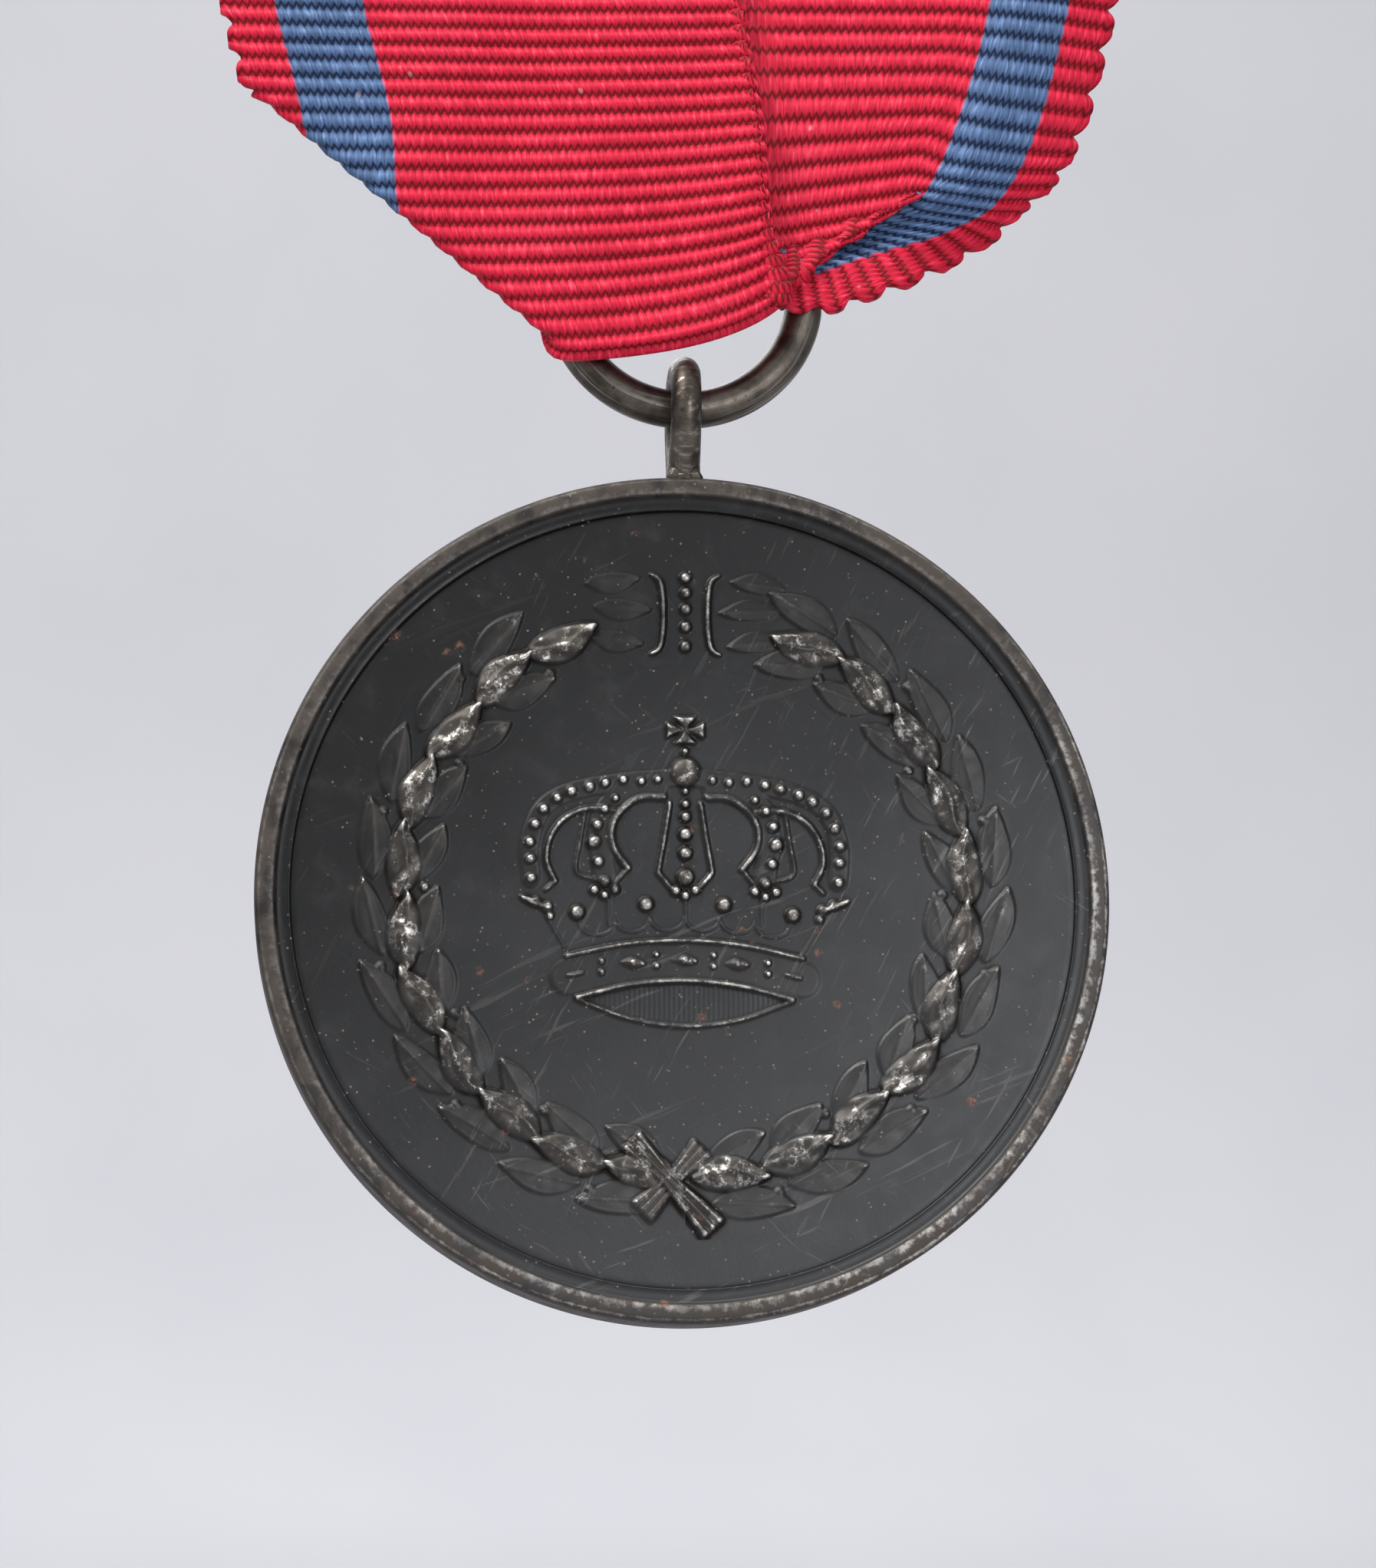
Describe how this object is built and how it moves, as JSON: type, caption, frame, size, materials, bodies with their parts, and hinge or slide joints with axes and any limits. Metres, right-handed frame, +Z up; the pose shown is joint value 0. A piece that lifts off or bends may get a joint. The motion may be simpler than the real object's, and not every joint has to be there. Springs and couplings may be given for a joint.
{
  "type": "military service medal",
  "caption": "Round struck medal with a crown and laurel wreath, hung by a split ring from a striped ribbon folded over a pin-back mount.",
  "frame": {"origin": "centre of the pin bar's back face, where the mount bears on the wearer's coat", "axes": "+Z up, +Y backwards out of the pin bar towards the coat, so the medal's obverse faces -Y; +X to the right when facing the obverse"},
  "size_m": [0.038, 0.0065, 0.0892],
  "materials": {
    "struck_disc": "black-patinated struck metal, worn to bright silver on the rim and high relief, brown in the recesses",
    "worn_wire": "round wire with a brown-grey tarnish, rubbed bright where it bears",
    "ribbon_silk": "ribbed silk, red centre with a blue stripe near each edge and a narrow red edge",
    "tinned_plate": "tinned sheet, dull",
    "mount_brass": "rolled brass, lightly tarnished",
    "pin_steel": "nickel-plated spring wire"
  },
  "bodies": {
    "ribbon_mount": {"ribbon": "ribbon_silk", "mount_plate": "tinned_plate", "pin_bar": "mount_brass", "rivet_left": "mount_brass", "rivet_right": "mount_brass", "pivot_washer": "mount_brass", "pin_pivot": "mount_brass", "catch_hook": "mount_brass"},
    "ring": {"suspension_ring": "worn_wire"},
    "medal": {"medal_disc": "struck_disc", "eyelet": "worn_wire"},
    "pin": {"pin_stem": "pin_steel"}
  },
  "joints": [
    {"name": "ring_swing", "type": "hinge", "parent": "ribbon_mount", "child": "ring", "pos_m": [0, -0.00175, -0.04], "axis": [1, 0, 0], "range_deg": [-70, 70]},
    {"name": "medal_swing", "type": "hinge", "parent": "ring", "child": "medal", "pos_m": [0, -0.00175, -0.0487], "axis": [1, 0, 0], "range_deg": [-100, 100]},
    {"name": "pin_open", "type": "hinge", "parent": "ribbon_mount", "child": "pin", "pos_m": [-0.014, 0.00112, 0.0009], "axis": [0, 1, 0], "range_deg": [0, 80]}
  ]
}
